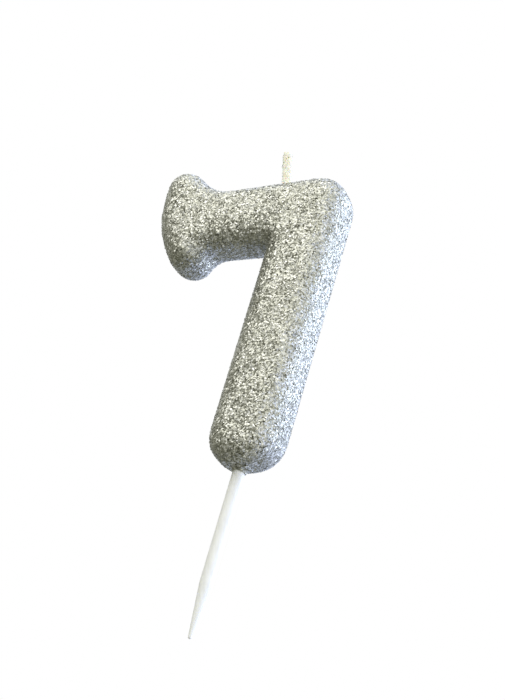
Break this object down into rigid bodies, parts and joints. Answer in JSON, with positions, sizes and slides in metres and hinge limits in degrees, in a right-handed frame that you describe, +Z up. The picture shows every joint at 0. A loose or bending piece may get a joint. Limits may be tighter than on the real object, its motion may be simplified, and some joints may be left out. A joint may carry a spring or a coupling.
{
  "type": "number birthday candle",
  "caption": "Cast wax number seven candle with a glitter skin, a plaited waxed wick and a pointed pick that pushes into a cake.",
  "frame": {"origin": "on the pick's axis, where the pick comes out of the foot of the stem", "axes": "+Z up with the numeral upright, +X to the numeral's right as it is read, -Y out of its front face"},
  "size_m": [0.0464, 0.014, 0.1179],
  "materials": {
    "wax": "satin cast wax",
    "glitter": "silver glitter in clear lacquer",
    "cotton": "plaited cotton",
    "wick_wax": "thin translucent wax",
    "pick_plastic": "moulded white plastic"
  },
  "bodies": {
    "root": {"wax_body": "wax", "glitter_coat": "glitter", "wick_strand_1": "cotton", "wick_strand_2": "cotton", "wick_strand_3": "cotton", "wick_wax": "wick_wax", "pick": "pick_plastic"}
  },
  "joints": []
}
